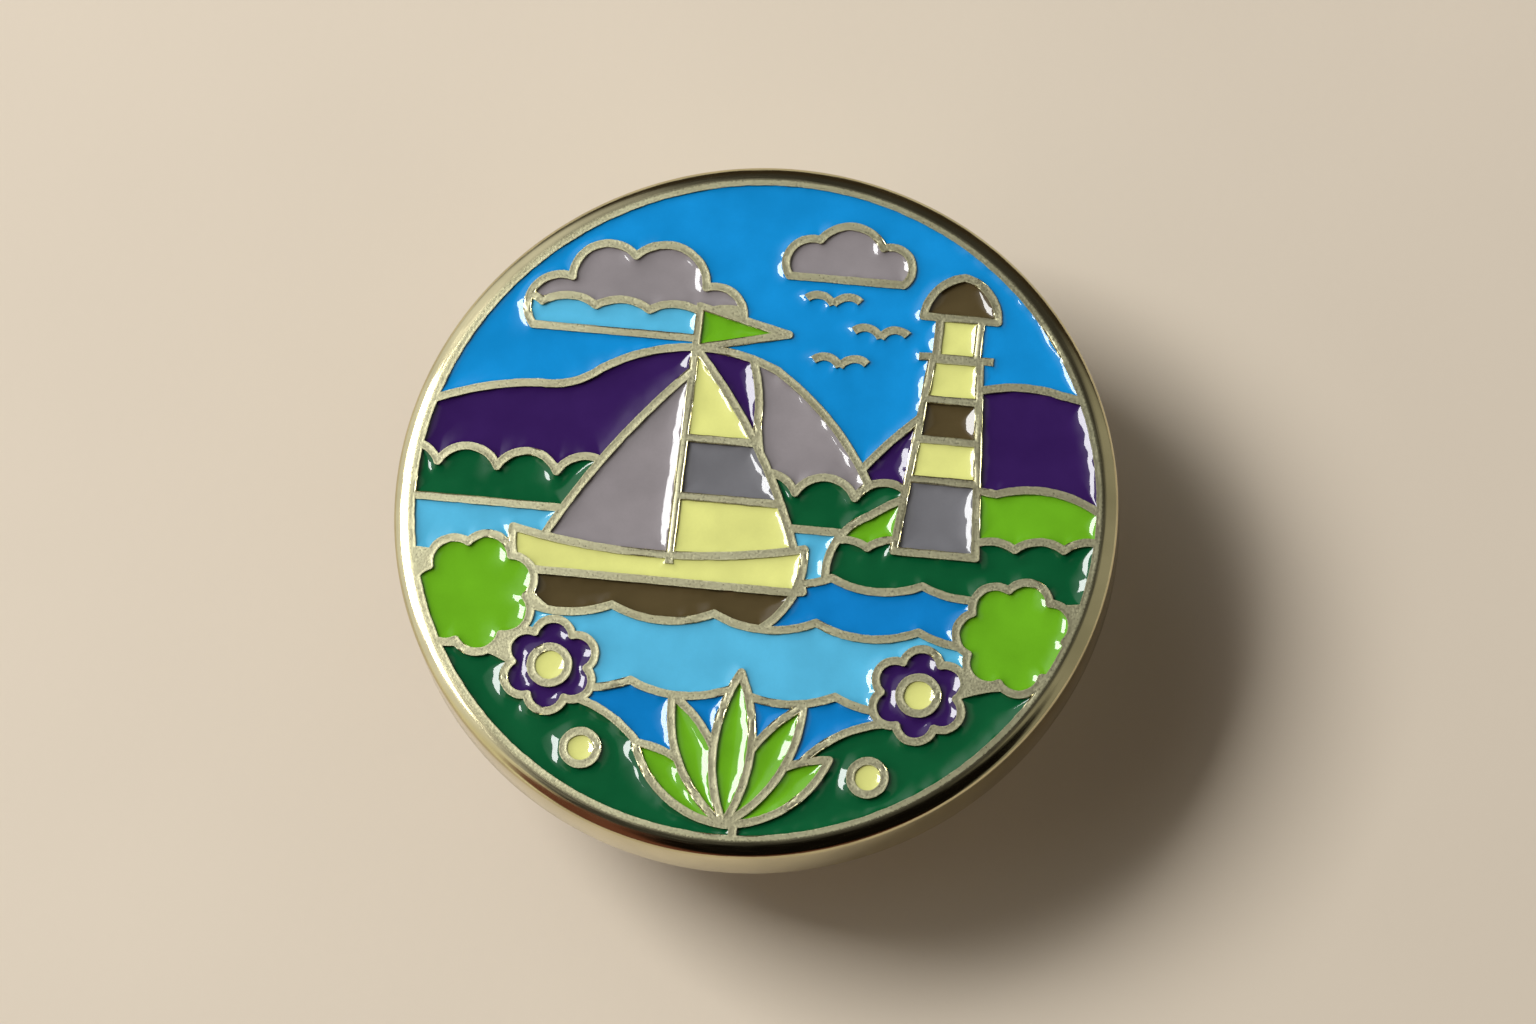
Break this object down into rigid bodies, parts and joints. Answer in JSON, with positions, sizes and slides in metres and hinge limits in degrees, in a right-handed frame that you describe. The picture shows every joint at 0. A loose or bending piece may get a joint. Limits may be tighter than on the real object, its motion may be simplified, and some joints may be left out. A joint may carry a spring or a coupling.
{
  "type": "enamel pin",
  "caption": "Round soft enamel pin badge with raised metal lines, a nail post on the back and a sprung butterfly clutch that slides on the post.",
  "frame": {"origin": "centre of the badge, in the plane of the raised ring on its back", "axes": "+Z out of the enamelled face, +Y towards the top of the picture, +X to its right; the post and clutch run along -Z"},
  "size_m": [0.0318, 0.0318, 0.0106],
  "materials": {
    "plated_badge": "polished pale gold plating, softly rounded die-struck edges, fine sandblast on the back",
    "post_steel": "turned nail post, lightly gold plated",
    "solder": "satin tin solder",
    "clutch_brass": "bright stamped brass sheet",
    "spring_brass": "bright stamped spring brass",
    "enamel_sky_blue": "glossy soft enamel, a little lower than the metal lines",
    "enamel_deep_blue": "glossy soft enamel, a little lower than the metal lines",
    "enamel_light_blue": "glossy soft enamel, a little lower than the metal lines",
    "enamel_purple": "glossy soft enamel, a little lower than the metal lines",
    "enamel_grey": "glossy soft enamel, a little lower than the metal lines",
    "enamel_rock_grey": "glossy soft enamel, a little lower than the metal lines",
    "enamel_dark_green": "glossy soft enamel, a little lower than the metal lines",
    "enamel_lime": "glossy soft enamel, a little lower than the metal lines",
    "enamel_brown": "glossy soft enamel, a little lower than the metal lines",
    "enamel_yellow": "glossy soft enamel, a little lower than the metal lines"
  },
  "bodies": {
    "badge": {"badge_base": "plated_badge", "post": "post_steel", "solder_fillet": "solder", "enamel_bank_left": "enamel_dark_green", "enamel_bank_right": "enamel_dark_green", "enamel_buds": "enamel_yellow", "enamel_bush_left": "enamel_lime", "enamel_bush_right": "enamel_lime", "enamel_cloud": "enamel_grey", "enamel_cloud_shade": "enamel_light_blue", "enamel_far_shore": "enamel_dark_green", "enamel_flower_eyes": "enamel_yellow", "enamel_headland": "enamel_lime", "enamel_headland_shade": "enamel_dark_green", "enamel_hill_back": "enamel_purple", "enamel_hill_flank": "enamel_grey", "enamel_hill_right": "enamel_purple", "enamel_hull": "enamel_brown", "enamel_jib": "enamel_grey", "enamel_lantern": "enamel_yellow", "enamel_leaf_1": "enamel_lime", "enamel_leaf_2": "enamel_lime", "enamel_leaf_3": "enamel_lime", "enamel_leaf_4": "enamel_lime", "enamel_leaf_5": "enamel_lime", "enamel_pennant": "enamel_lime", "enamel_petals_left": "enamel_purple", "enamel_petals_right": "enamel_purple", "enamel_roof": "enamel_brown", "enamel_sail_foot": "enamel_yellow", "enamel_sail_middle": "enamel_rock_grey", "enamel_sail_top": "enamel_yellow", "enamel_sea_far": "enamel_light_blue", "enamel_sea_front": "enamel_deep_blue", "enamel_sea_middle": "enamel_deep_blue", "enamel_sea_near": "enamel_light_blue", "enamel_sky": "enamel_sky_blue", "enamel_small_cloud": "enamel_grey", "enamel_strake": "enamel_yellow", "enamel_tower_band_1": "enamel_yellow", "enamel_tower_band_2": "enamel_brown", "enamel_tower_band_3": "enamel_yellow", "enamel_tower_foot": "enamel_rock_grey"},
    "clutch": {"clutch_cap": "clutch_brass", "clutch_spring": "spring_brass"},
    "wing_right": {"wing_right": "spring_brass"},
    "wing_left": {"wing_left": "spring_brass"}
  },
  "joints": [
    {"name": "clutch_slide", "type": "slide", "parent": "badge", "child": "clutch", "axis": [0, 0, -1], "range_m": [-0.0012, 0.007]},
    {"name": "wing_right_squeeze", "type": "hinge", "parent": "clutch", "child": "wing_right", "pos_m": [-0.0034, 0, -0.00261], "axis": [0, 1, 0], "range_deg": [0, 9], "stiffness_Nm_per_rad": 0.005},
    {"name": "wing_left_squeeze", "type": "hinge", "parent": "clutch", "child": "wing_left", "pos_m": [0.0034, 0, -0.00261], "axis": [0, -1, 0], "range_deg": [0, 9], "stiffness_Nm_per_rad": 0.005}
  ],
  "couplings": [
    {"joint": "wing_left_squeeze", "follows": "wing_right_squeeze", "ratio": 1}
  ]
}
